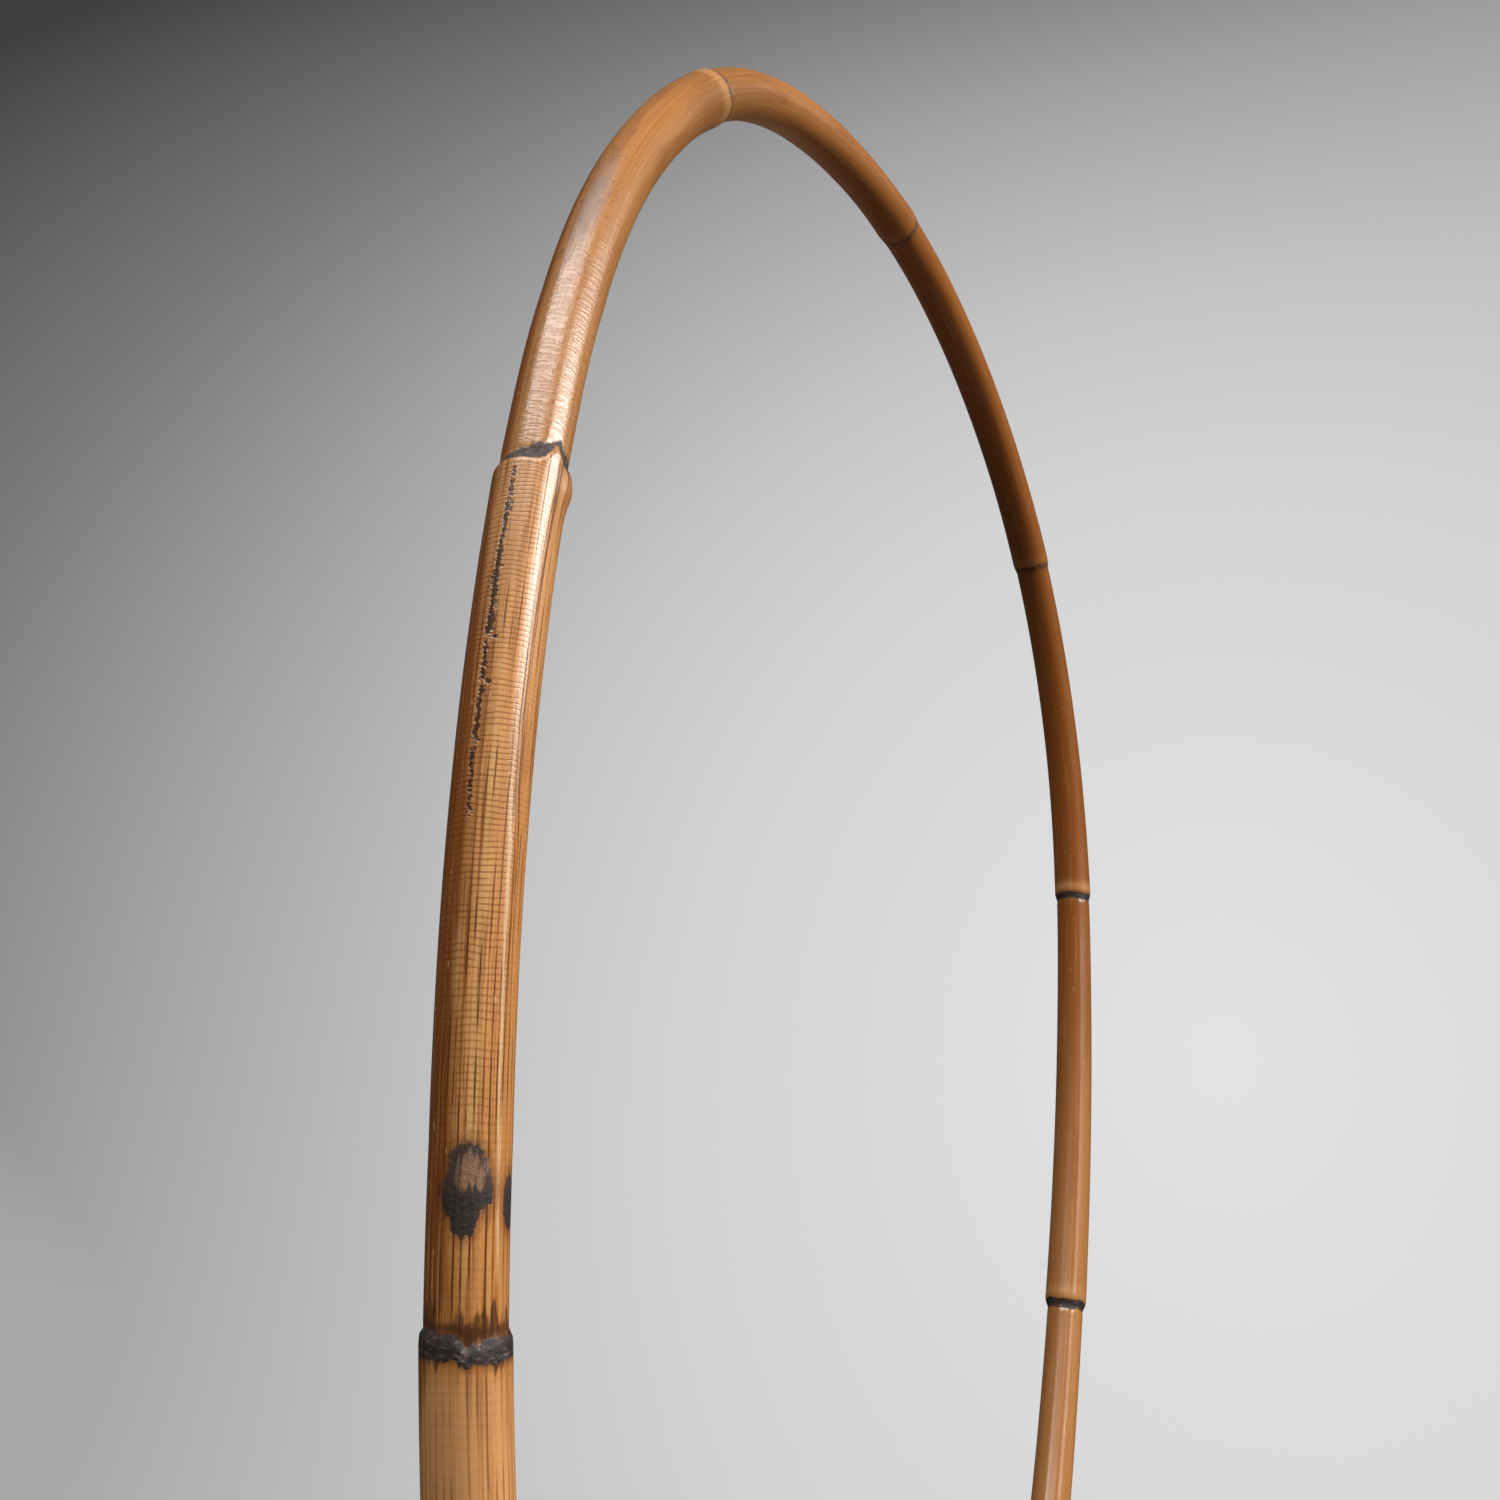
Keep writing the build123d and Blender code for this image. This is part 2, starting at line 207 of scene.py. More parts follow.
# Foot hoops
# An outer and an inner ring of thick split bamboo, bent round and clamped on the stakes' ends.
# The basket stands on their lower edges.
hoop_thickness = 3.0
hoop_edge = 0.9
snug = 0.2
hoop_face = stake_thickness / 2 + snug
hoop_middle = hoop_face + hoop_thickness / 2
foot_height = 14.0
hoop_colours = ((0.36, 0.15, 0.037), (0.19, 0.066, 0.016))
hoop_finish = split_bamboo("hoop_strip", *hoop_colours, roughness=0.30, coat=0.35)
ridge_turns = np.array([0.7, 2.6, 4.4])
ridge_height = 0.22
ridge_half_width = 1.6


def bent_hoop(name, height, width, side, upright):
    """Strip section carried round the wall; ridges of the bamboo's joints stand out at a few turns."""
    turn = np.linspace(0, 2 * math.pi, 240, endpoint=False)[None, :, None]
    section_up, section_out = rounded_section(width, hoop_thickness, hoop_edge)
    ridge_turn = ridge_turns + 0.4 * side
    gap = (turn[..., None] - ridge_turn + math.pi) % (2 * math.pi) - math.pi
    ridge = ridge_height * np.exp(-((gap * rim_radius / ridge_half_width) ** 2)).sum(axis=-1)
    offset = side * (hoop_middle + section_out * (1 + ridge * (section_out > 0)))
    if upright:
        level = height + section_up
        radius = rim_radius - (rim_height - level) * math.tan(lean) + offset / math.cos(lean)
        points = np.stack(np.broadcast_arrays(radius * np.cos(turn), radius * np.sin(turn), level), axis=-1)
    else:
        points = wall_point(turn, height + section_up * math.cos(lean), offset)
    along = turn * rim_radius / 10 + 40 * side + height
    grain = np.stack(np.broadcast_arrays(along, section_up / 10, section_out / 10 + 0 * turn), axis=-1)
    return add_surface(name, points, grain, ring=True)


for hoop_name, hoop_side in (("foot_outer_hoop", 1), ("foot_inner_hoop", -1)):
    hoop = bent_hoop(hoop_name + "_bent", foot_height / 2, foot_height, hoop_side, upright=True)
    fit_piece(hoop, hoop_finish, "basket", "hoop_strip", hoop_name)

# Floor
# Flat slats laid side by side and trimmed round, on two battens let into the inner foot hoop.
# Bare split bamboo, inner side up.
floor_colours = ((0.40, 0.23, 0.085), (0.25, 0.125, 0.04))


def dress_node(node_name, finish):
    """Gives a CAD node a finish in place of its plain one."""
    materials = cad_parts[node_name].data.materials
    materials.clear()
    materials.append(finish)


for floor_name, floor_run in (("floor_slats", "Y"), ("floor_battens", "X")):
    dress_node(floor_name, split_bamboo(floor_name + "_bare", *floor_colours, roughness=0.55, run=floor_run))

# Weavers
# Each row is one thin flat strip, woven outside one stake and inside the next.
# The next row goes the other way. Skin side out, lacquered once the basket is woven.
row_count = 12
row_start = 18.2
row_pitch = 10.0556
row_height = 7.1556
weaver_thickness = 1.0
weaver_edge = 0.3
weaver_crown = 0.12
weave_swing = 1.62
weave_flatness = 2.0
steps_per_stake = 16
weaver_colours = ((0.42, 0.185, 0.047), (0.22, 0.082, 0.02))
weaver_finish = split_bamboo("weaver_strip", *weaver_colours, roughness=0.34, coat=0.25)


def woven_row(row):
    """Strip section carried round the wall: its offset is a flattened cosine, turned over at each stake."""
    turn = np.linspace(0, 2 * math.pi, stake_count * steps_per_stake, endpoint=False)[None, :, None]
    section_up, section_out = rounded_section(
        row_height / math.cos(lean), weaver_thickness, weaver_edge, weaver_crown
    )
    wave = np.tanh(weave_flatness * np.cos(stake_count / 2 * turn + math.pi * row))
    wave = wave / math.tanh(weave_flatness)
    middle = row_start + row * row_pitch + row_height / 2
    points = wall_point(turn, middle + section_up * math.cos(lean), weave_swing * wave + section_out)
    along = turn * rim_radius / 10 + 53 * row
    grain = np.stack(
        np.broadcast_arrays(along, section_up / 10 + 5 * row, section_out / 10 + 0 * turn), axis=-1
    )
    return add_surface(f"weaver_{row + 1:02d}_woven", points, grain, ring=True)


for row in range(row_count):
    fit_piece(woven_row(row), weaver_finish, "basket", "weaver_strip", f"weaver_{row + 1:02d}")

# Rim hoops
# Two bands of split bamboo laid square to the wall, one outside and one inside the stakes' tops.
# They clamp the stakes between them once they are lashed together.
rim_hoop_width = 11.0
rim_middle = rim_height - rim_hoop_width * math.cos(lean) / 2
for hoop_name, hoop_side in (("rim_outer_hoop", 1), ("rim_inner_hoop", -1)):
    hoop = bent_hoop(hoop_name + "_bent", rim_middle, rim_hoop_width, hoop_side, upright=False)
    fit_piece(hoop, hoop_finish, "basket", "hoop_strip", hoop_name)

# Rim lashing
# One long strip of peeled cane, half round, wound over both hoops through the gaps between stakes.
# It drops straight down outside, passes under the hoops and moves on to the next gap over the top.
lash_width = 2.2
lash_thickness = 1.1
lash_edge = 0.4
lash_crown = 0.2
lash_bend = 1.8
lash_lift = snug + lash_thickness / 2
lash_colours = ((0.52, 0.27, 0.075), (0.33, 0.14, 0.035))
lash_finish = split_bamboo("lashing_cane", *lash_colours, roughness=0.30, coat=0.3)


def cut_corners(line):
    """Line with each corner cut off, a quarter of the way along the runs beside it."""
    leaving = 0.75 * line[:-1] + 0.25 * line[1:]
    coming = 0.25 * line[:-1] + 0.75 * line[1:]
    return np.stack([leaving, coming], axis=1).reshape(-1, 3)


def wound_strip(name, corners, cores):
    """Half-round strip carried along a winding, rounded by two cuts, with its flat side to the core."""
    for _ in range(2):
        corners, cores = cut_corners(corners), cut_corners(cores)
    ahead = np.gradient(corners, axis=0)
    ahead /= np.linalg.norm(ahead, axis=1, keepdims=True)
    outward = corners - cores
    outward -= ahead * (outward * ahead).sum(axis=1, keepdims=True)
    outward /= np.linalg.norm(outward, axis=1, keepdims=True)
    sideways = np.cross(ahead, outward)
    section_side, section_out = rounded_section(lash_width, lash_thickness, lash_edge, lash_crown, steps=3)
    points = (
        corners[:, None]
        + sideways[:, None] * section_side[None, :, None]
        + outward[:, None] * section_out[None, :, None]
    )
    run = np.concatenate([[0], np.cumsum(np.linalg.norm(np.diff(corners, axis=0), axis=1))])
    grain = np.stack(np.broadcast_arrays(run[:, None] / 10, section_side / 10, section_out / 10), axis=-1)
    return add_surface(name, points[None], grain[None])


half_out = hoop_face + hoop_thickness + lash_lift
half_up = rim_hoop_width / 2 + lash_lift
bend_out = 1 - lash_bend / half_out
bend_up = 1 - lash_bend / half_up
# One turn round the hoops: place across and up them, and share of the way to the next gap
lash_turn = np.array(
    [
        (1, bend_up, 0.0),
        (1, -bend_up, 0.0),
        (bend_out, -1, 0.0),
        (-bend_out, -1, 0.0),
        (-1, -bend_up, 0.02),
        (-1, bend_up, 0.25),
        (-bend_out, 1, 0.3),
        (bend_out, 1, 0.95),
    ]
)
gap_turn = (np.arange(stake_count)[:, None] + 0.5 + lash_turn[:, 2]) * 2 * math.pi / stake_count
gap_level = np.broadcast_to(rim_middle + lash_turn[:, 1] * half_up * math.cos(lean), gap_turn.shape)
rim_corners = wall_point(gap_turn, gap_level, lash_turn[:, 0] * half_out).reshape(-1, 3)
rim_cores = wall_point(gap_turn, np.full_like(gap_turn, rim_middle), 0.0).reshape(-1, 3)
rim_lashing = wound_strip("rim_lashing_wound", rim_corners, rim_cores)
fit_piece(rim_lashing, lash_finish, "basket", "lashing_cane", "rim_lashing")

# Handle cane
# One thin whole cane, bent by heat into a tall arch, its legs planed flat where they lie on the hoops.
# Each internode swells to its joint and steps down past it.
# The skin is smoked, lacquered and crazed with age.
crown_height = 454.70
half_length = 523.2
bend_ends = np.array([0.0, 55.70, 120.68, 190.95, 327.37, 372.92, half_length])
bend_headings = np.radians([0.0, 27.2, 63.0, 89.4, 108.7, 100.0, 100.0])
leg_flat_offset = 4.3
leg_flat_top = 197.0
near_foot_radius, far_foot_radius = 5.0, 4.05
# Joint: station from the crown, radius before its flare, flare, radius past it, length of the step,
# wave of its edge, height of its dark ring, pale lip before it (at -104 also a painted highlight)
joints = np.array(
    [
        (-510, 5.10, 0.10, 4.90, 1.7, 0.3, 1.2, 0.3),
        (-414, 5.05, 0.10, 4.85, 1.7, 0.4, 1.4, 0.3),
        (-310.7, 4.93, 0.05, 4.51, 1.4, 0.0, 2.0, 0.1),
        (-206.0, 4.82, 0.12, 4.36, 1.4, 0.0, 1.2, 0.2),
        (-104, 4.56, 0.22, 4.33, 2.4, 0.1, 1.9, 1.8),
        (-12.0, 4.27, 0.34, 4.16, 7.0, 0.1, 1.4, 0.2),
        (89, 4.40, 0.08, 4.06, 4.0, 0.1, 1.0, 0.3),
        (177, 4.38, 0.06, 4.00, 2.4, 0.1, 1.3, 1.0),
        (277, 4.38, 0.06, 3.80, 2.4, 0.2, 1.6, 0.7),
        (374, 4.25, 0.10, 3.95, 1.7, 0.3, 1.3, 0.5),
        (468, 4.25, 0.10, 3.95, 1.7, 0.3, 1.2, 0.5),
    ]
)
# The numbers of the joints on the near leg that are seen close, and of those whose rings are soft and brown
lower_joint, upper_joint, soft_joints = 3, 4, (5, 6, 7)
# Round the girth of the two close ones: angle, edge and collar's top of the lower joint,
# and edge, dark ring's top and dark ring's foot of the upper joint
joint_girth = np.array(
    [
        (-180, 0.0, 1.6, -0.6, 0.6, -0.3),
        (-120, 0.3, 1.6, -0.2, 0.7, -0.4),
        (-60, -0.2, 1.6, -0.3, 1.3, -0.7),
        (-39, -0.1, 1.7, -0.2, 1.5, -0.8),
        (-31, -0.3, 1.7, 0.3, 1.6, -0.8),
        (-8, -0.4, 1.7, 0.3, 1.8, -0.8),
        (0, -0.3, 1.6, 0.7, 2.0, -0.8),
        (8, -0.4, 1.5, 1.5, 1.9, -0.6),
        (16, -0.5, 1.4, 2.5, 0.6, -0.2),
        (22, -0.5, 1.3, 1.6, 0.8, -0.2),
        (33, -0.4, 1.0, 0.2, 1.9, -0.3),
        (42, -0.2, 0.9, -0.4, 2.3, -0.3),
        (51, -0.7, 0.9, -0.6, 2.2, -0.3),
        (58, -0.2, 1.1, -0.6, 1.8, -0.3),
        (65, 0.4, 1.3, -0.6, 1.4, -0.3),
        (81, 0.2, 1.5, -0.5, 0.9, -0.3),
        (97, 0.4, 1.7, -0.4, 0.5, -0.3),
        (119, 0.5, 1.8, -0.4, 0.3, -0.3),
        (150, 0.3, 1.7, -0.6, 0.4, -0.3),
    ]
)
edge_turn, edge_lower, collar_top, edge_upper, dark_upper, dark_under = joint_girth.T


def by_station(places, *pairs):
    """Value at places along the cane, from pairs of station and value that are joined straight."""
    stations, values = zip(*pairs)
    return np.interp(places, stations, values)


fine_runs = [np.arange(-half_length, half_length, 2.4), np.arange(-330, -190, 1.0), [half_length]]
fine_runs += [joint + np.arange(-4.5, 4.5, 0.3) for joint in joints[:, 0]]
station = np.unique(np.round(np.concatenate(fine_runs), 2))
station = station[np.concatenate([[True], np.diff(station) > 0.2])]
station[-1] = half_length
around = np.linspace(-math.pi, math.pi, 96, endpoint=False)

dense = np.linspace(0, half_length, 20001)
dense_heading = np.interp(dense, bend_ends, bend_headings)
dense_step = dense[1]
dense_middle = (dense_heading[1:] + dense_heading[:-1]) / 2
dense_across = np.concatenate([[0], np.cumsum(np.cos(dense_middle) * dense_step)])
dense_drop = np.concatenate([[0], np.cumsum(np.sin(dense_middle) * dense_step)])
reach = np.abs(station)
half = np.where(station < 0, -1.0, 1.0)
heading = np.interp(reach, dense, dense_heading)
out_x = np.sin(heading) * half
out_z = np.cos(heading)
# The cane wanders a little off its drawn bends, outwards where positive
sway = by_station(
    station,
    (-420, 0.0), (-330, 0.6), (-310, 0.6), (-290, 0.1), (-240, 0.05), (-220, -0.05), (-205, -0.25),
    (-190, -0.55), (-175, -0.82), (-160, -0.6), (-145, -0.45), (-110, -0.5), (-90, -0.2), (-75, -0.35),
    (-60, -0.5), (-40, -0.35), (-20, 0.1), (5, 0.45), (30, 0.28), (55, 0.0), (80, -0.2), (110, -0.16),
    (140, 0.22), (170, -0.16), (190, -0.12), (230, 0.2), (310, 0.25), (420, 0.0),
)
axis_x = half * np.interp(reach, dense, dense_across) + sway * out_x
axis_z = crown_height - np.interp(reach, dense, dense_drop) + sway * out_z
S, A = np.meshgrid(station, around, indexing="ij")


def turned(angle):
    """Angle round the cane from a given one, between minus half a turn and half a turn."""
    return (A - math.radians(angle) + math.pi) % (2 * math.pi) - math.pi


def round_girth(values):
    """Values given at the edge's angles, joined round the cane."""
    return np.interp(np.degrees(A), edge_turn, values, period=360)


def band(past, low, high, soft):
    """One between two places along the cane, zero outside, with soft ends."""
    return np.clip((past - low) / soft + 0.5, 0, 1) * np.clip((high - past) / soft + 0.5, 0, 1)


# The radius starts with the first internode and is handed over at each joint along its wavy edge,
# with a fine groove past it
flare_run, lump_height = 7.0, 0.05
groove_depth, groove_past, groove_half = 0.08, 1.2, 0.6
lip_before, lip_half = 1.9, 1.4
starts = np.concatenate([[-half_length], joints[:, 0]])
ends = np.concatenate([joints[:, 0], [half_length]])
first = np.concatenate([[near_foot_radius], joints[:, 3]])
last = np.concatenate([joints[:, 1], [far_foot_radius]])
ring_dark = np.zeros_like(S)
lip_pale_and_highlight = np.zeros_like(S)
crest = np.full_like(S, 9.0)
for i in range(len(starts)):
    share = np.clip((S - starts[i]) / (ends[i] - starts[i]), 0, 1)
    internode = first[i] + (last[i] - first[i]) * share**1.2
    if i < len(joints):
        internode = internode + joints[i, 2] * np.exp(-np.clip(ends[i] - S, 0, None) / flare_run)
    if i == 0:
        cane_r = internode
        continue
    at, _, _, _, step, wave, dark, pale = joints[i - 1]
    edge = at + wave * (np.sin(A + i) + np.sin(3 * A + 2 * i) + 0.4 * np.sin(7 * A + 5 * i))
    low, high, fade, strength, before_edge = -0.3, dark, 0.5, 1.0, 0.47 * step
    if i == lower_joint:
        edge = edge + round_girth(edge_lower)
        low, high = -1.0, round_girth(collar_top)
        step, before_edge = 0.7, 0.6 - high
    if i == upper_joint:
        edge = edge + round_girth(edge_upper)
        low, high, fade = round_girth(dark_under), round_girth(dark_upper), 1.5
        before_edge = 0.6 + 0.6 * np.clip((np.degrees(A) - 75) / 25, 0, 1)
        step = before_edge + 0.2
    if i in soft_joints:
        low, high, fade, strength = -0.7, dark, 1.6, 0.5
    past = S - edge
    hand_over = np.clip((past + before_edge) / step, 0, 1)
    hand_over = hand_over * hand_over * (3 - 2 * hand_over)
    cane_r = cane_r * (1 - hand_over) + internode * hand_over
    cane_r = cane_r - groove_depth * np.exp(-(((past - groove_past) / groove_half) ** 2))
    ring = np.clip((past - low) / 0.5 + 0.5, 0, 1) * np.clip((high - past) / fade + 0.5, 0, 1) * strength
    cane_r = cane_r + lump_height * ring * np.sin(11 * A + 3 * i) * np.sin(5 * A + i) * (dark > 1)
    ring_dark = np.maximum(ring_dark, ring)
    lip_pale_and_highlight = np.maximum(lip_pale_and_highlight, pale * np.exp(-(((past + lip_before) / lip_half) ** 2)))
    crest = past if i == lower_joint else crest
cane_r = cane_r * (1 + 0.006 * np.cos(2 * A + S / 45) + 0.004 * np.cos(3 * A - S / 60))
# A bud channel runs down from the upper joint: a ridge, a shallow groove beside it and the bud's own bump
channel_ridge, channel_groove, bud_height = 0.09, 0.12, 0.52
channel = np.clip((-204.5 - S) / 1.5, 0, 1) * by_station(S, (-312, 0), (-305, 0.5), (-255, 0.5), (-245, 1))
ridge_path = np.radians(
    by_station(
        S,
        (-306, 9), (-277, 13), (-257, 17), (-250, 24), (-243, 27),
        (-225, 25), (-217, 21), (-211, 17), (-204, 18),
    )
)
ridge_gap = A - ridge_path
cane_r = cane_r + channel * channel_ridge * np.exp(-((ridge_gap / 0.20) ** 2))
cane_r = cane_r - channel * channel_groove * np.exp(-(((ridge_gap + 0.42) / 0.26) ** 2))
cane_r = cane_r + bud_height * np.exp(-(((S + 208.8) / 2.2) ** 2) - (turned(-30) / 0.40) ** 2)

cane_points = np.stack(
    np.broadcast_arrays(
        axis_x[:, None] + cane_r * np.sin(A) * out_x[:, None],
        -cane_r * np.cos(A),
        axis_z[:, None] + cane_r * np.sin(A) * out_z[:, None],
    ),
    axis=-1,
)
wall_offset = (np.abs(cane_points[..., 0]) - rim_radius) * math.cos(lean) - (
    cane_points[..., 2] - rim_height
) * math.sin(lean)
planed = np.where(cane_points[..., 2] < leg_flat_top, np.maximum(leg_flat_offset - wall_offset, 0), 0)
cane_points[..., 0] += planed * math.cos(lean) * half[:, None]
cane_points[..., 2] -= planed * math.sin(lean)

# The skin's grain is the cane straightened out, in centimetres, so patterns close round it
skin_grain = np.stack([S / 10, 0.5 * np.cos(A), 0.5 * np.sin(A)], axis=-1)
handle_skin = add_surface("handle_cane_skin", cane_points[None], skin_grain[None])

# Broad tone by station: honey, with tan on the old lower lengths and russet on the far arch,
# and painted shade: deep amber on the sides of the legs away from the light
honey = np.array([0.58, 0.232, 0.056])
tan = np.array([0.65, 0.325, 0.128])
russet = np.array([0.42, 0.135, 0.026])
painted_shade_amber = np.array([0.30, 0.080, 0.008])
tan_share = by_station(
    S,
    (-523, 0.4), (-400, 0.4), (-330, 0.9), (-314, 0.9), (-312, 0.2), (-260, 0.4), (-207, 1.0), (-205, 0.7),
    (-150, 0.4), (-104, 0.2), (-60, 0.1), (-13, 0.0), (177, 0.0), (240, 0.4), (290, 0.5), (523, 0.3),
)
red_share = by_station(
    S,
    (-523, 0.1), (-400, 0.1), (-330, 0.0), (-314, 0.0), (-312, 0.1), (-260, 0.0), (-207, 0.0), (-205, 0.1),
    (-150, 0.0), (-104, 0.2), (-60, 0.2), (-13, 0.7), (88, 0.9), (177, 0.7), (240, 0.1), (290, 0.0),
    (523, 0.1),
)
# Painted shade: the near leg turns deep amber past these angles round its back, the far leg on its inner side
near_shade_start = by_station(
    S, (-320, 125), (-305, 76), (-255, 76), (-225, 95), (-207, 102), (-204, 95), (-150, 98), (-120, 130)
)
near_shade_share = np.clip((np.degrees(A) - near_shade_start) / 14, 0, 1) * np.clip((-60 - S) / 60, 0, 1)
far_shade_run = by_station(S, (-100, 0.0), (-50, 0.9), (130, 0.9), (260, 0.3), (400, 0.3))
far_shade_share = np.clip((-np.degrees(A) - 35) / 35, 0, 1) * far_shade_run
# Painted highlight: a pale tan band down the middle of the near leg, and one beside the bud channel's ridge
middle_highlight_share = 0.9 * np.exp(-((turned(50) / 0.26) ** 2)) * band(S, -302, -232, 24)
ridge_highlight_share = 0.6 * np.exp(-((turned(22) / 0.32) ** 2)) * band(S, -244, -206, 10)
middle_highlight_share = np.maximum(middle_highlight_share, ridge_highlight_share)
lift = by_station(
    S,
    (-400, 1.2), (-330, 1.55), (-313, 1.55), (-311, 1.35), (-280, 1.35), (-220, 1.28), (-207, 1.25),
    (-204, 1.0), (-125, 0.95), (-112, 0.72), (-90, 0.78), (-75, 0.98), (-30, 0.92), (40, 0.92),
    (110, 0.68), (200, 0.68), (240, 0.82), (310, 0.90),
)
skin_tone = honey + tan_share[..., None] * (tan - honey) + red_share[..., None] * (russet - honey)
# Lift by station, then the painted highlight bands lightened towards pale tan
skin_tone = skin_tone * lift[..., None] + middle_highlight_share[..., None] * (tan * 1.5 - skin_tone)
# Painted shade: deep amber on the near leg's back and the far leg's inner side
skin_tone = skin_tone + (np.maximum(near_shade_share, far_shade_share) * 0.85)[..., None] * (painted_shade_amber - skin_tone)
# Pale lips before the joints; the one at -104 is also a painted highlight
skin_tone = skin_tone + (tan * 1.1 - skin_tone) * np.clip(lip_pale_and_highlight, 0, 1)[..., None] * 0.7

# Marks: depth inside the burns, the stain and the dull patch, where ripple, crazing and fibres show,
# the rows of crazing, and how satin the lacquer is
skin_radius = 4.6


def oval(at, half_long, angle, half_wide):
    """Depth inside an oval patch of skin: one at its middle, zero on its edge."""
    return 1 - np.sqrt(((S - at) / half_long) ** 2 + (turned(angle) * skin_radius / half_wide) ** 2)


burn_head = oval(-292.0, 2.3, 55, 2.3)
burn_body = oval(-294.9, 3.3, 56.5, 3.4)
burn_tail = oval(-297.4, 2.3, 57, 1.8)
burn_edge = oval(-296.2, 3.2, -20, 1.6)
burn_core = oval(-292.9, 2.3, 49, 2.2)
stain = 1 - np.abs((S + 308.9) / 3.2) + 0.25 * np.sin(3 * A + 1.0)
dull_patch = oval(-160, 17, 70, 2.6)
rippled = by_station(S, (-207, 0.0), (-204, 1.0), (-178, 0.9), (-150, 0.0))
crazed = by_station(
    S,
    (-330, 0.06), (-306, 0.2), (-296, 0.3), (-284, 0.55), (-262, 0.9),
    (-208, 0.9), (-204, 0.3), (-160, 0.25), (-130, 0.1), (523, 0.05),
)
crazed = crazed * np.where(ridge_gap < -0.12, 0.4, 1.0)
fibrous = by_station(
    S,
    (-523, 0.8), (-312, 0.8), (-308, 1.3), (-285, 1.2), (-260, 0.95),
    (-207, 1.0), (-204, 0.45), (-150, 0.3), (523, 0.22),
)
fibrous = fibrous + 0.6 * np.exp(-(((S + 279) / 13) ** 2) - ((turned(68) / 0.35) ** 2))
satin_run = by_station(
    S,
    (-523, 0.22), (-207, 0.22), (-204, 0.17), (-140, 0.21), (-60, 0.28), (-20, 0.20), (40, 0.14), (523, 0.14),
)
row_gap = by_station(
    station,
    (-523, 1.1), (-300, 1.0), (-275, 0.80), (-250, 0.68),
    (-220, 0.70), (-210, 0.58), (-190, 0.58), (523, 1.1),
)
row_steps = np.diff(station) * 0.5 * (1 / row_gap[1:] + 1 / row_gap[:-1])
craze_row = np.concatenate([[0], np.cumsum(row_steps)])[:, None] + 0 * S
for mark_name, mark_values in (
    ("ring", ring_dark),
    ("ring_crest", crest),
    ("burn", np.maximum.reduce([burn_head, burn_body, burn_tail, burn_edge])),
    ("burn_core", burn_core),
    ("stain", stain),
    ("dull_patch", dull_patch),
    ("rippled", rippled),
    ("crazed", crazed),
    ("craze_row", craze_row),
    ("fibrous", fibrous),
    ("satin_run", satin_run),
    ("ridge_path", ridge_path),
):
    mark = handle_skin.data.attributes.new(mark_name, "FLOAT", "POINT")
    mark.data.foreach_set("value", mark_values.astype(np.float32).ravel())
tone_rgba = np.concatenate([np.clip(skin_tone, 0, 1), np.ones((*S.shape, 1))], axis=-1)
handle_skin.data.attributes.new("tone", "FLOAT_COLOR", "POINT").data.foreach_set(
    "color", tone_rgba.astype(np.float32).ravel()
)

skin_finish, tree, shader = new_finish("handle_skin", 0.35)
shader.inputs["Specular IOR Level"].default_value = 0.85


def skin_mark(name):
    """Value of one of the skin's marks."""
    return add_node(tree, "ShaderNodeAttribute", attribute_name=name).outputs["Fac"]


def skin_noise(stretch, detail=2.0):
    """Noise on the straightened skin, stretched by centimetre scales along and round."""
    return drawn_noise(tree, skin_place, stretch, detail)


def figure(operation, *values):
    """One sum on the skin's values, by the operation's own name."""
    return add_node(tree, "ShaderNodeMath", dict(enumerate(values)), operation=operation).outputs[0]


def sum_of(first, second, share=1.0):
    """First value plus a share of the second."""
    return figure("MULTIPLY_ADD", second, share, first)


def product_of(first, second):
    """Two values multiplied."""
    return figure("MULTIPLY", first, second)


def rise(value, low, high):
    """Smooth step on one of the skin's values."""
    return smooth_step(tree, value, low, high)


def rows_of_lines(place, thin):
    """Lines at whole numbers of a place: one on the line, zero beyond its thickness."""
    return rise(figure("PINGPONG", place, 0.5), thin, thin * 0.2)


def tinted(mark, share, tint):
    """The skin's colour so far, moved towards a tint by a share of a mark."""
    return colour_mix(tree, product_of(mark, share), skin_colour, tint)


def vector_figure(operation, first, second):
    """One sum on two places of the skin, by the operation's own name."""
    return add_node(tree, "ShaderNodeVectorMath", {0: first, 1: second}, operation=operation).outputs


skin_place = add_node(tree, "ShaderNodeAttribute", attribute_name="grain").outputs["Vector"]
skin_parts = add_node(tree, "ShaderNodeSeparateXYZ", {0: skin_place}).outputs
along = skin_parts[0]
turn = figure("ARCTAN2", skin_parts[2], skin_parts[1])
skin_colour = add_node(tree, "ShaderNodeAttribute", attribute_name="tone").outputs["Color"]

# Slow mottling, fibre streaks and the fine dark fibre lines
fibre_count = 34
mottle_brown, fibre_brown = (0.32, 0.088, 0.012), (0.16, 0.042, 0.006)
streak_brown, streak_cream = (0.25, 0.068, 0.010), (0.80, 0.46, 0.18)
fibrous_here = skin_mark("fibrous")
mottle = skin_noise((0.6, 3.0, 3.0), 3.0)
skin_colour = tinted(rise(mottle, 0.50, 0.80), 0.45, mottle_brown)
streak = skin_noise((0.5, 16.0, 16.0), 3.0)
skin_colour = tinted(product_of(rise(streak, 0.50, 0.30), fibrous_here), 0.5, streak_brown)
skin_colour = tinted(product_of(rise(streak, 0.54, 0.70), fibrous_here), 0.5, streak_cream)
fibre_drift = skin_noise((0.2, 2.2, 2.2), 1.0)
fibre_place = sum_of(product_of(turn, fibre_count / (2 * math.pi)), fibre_drift)
fibre_strong = sum_of(0.15, rise(skin_noise((0.9, 8.0, 8.0)), 0.40, 0.62), 0.85)
fibre_line = product_of(product_of(rows_of_lines(fibre_place, 0.21), fibre_strong), fibrous_here)
skin_colour = tinted(fibre_line, 0.80, fibre_brown)

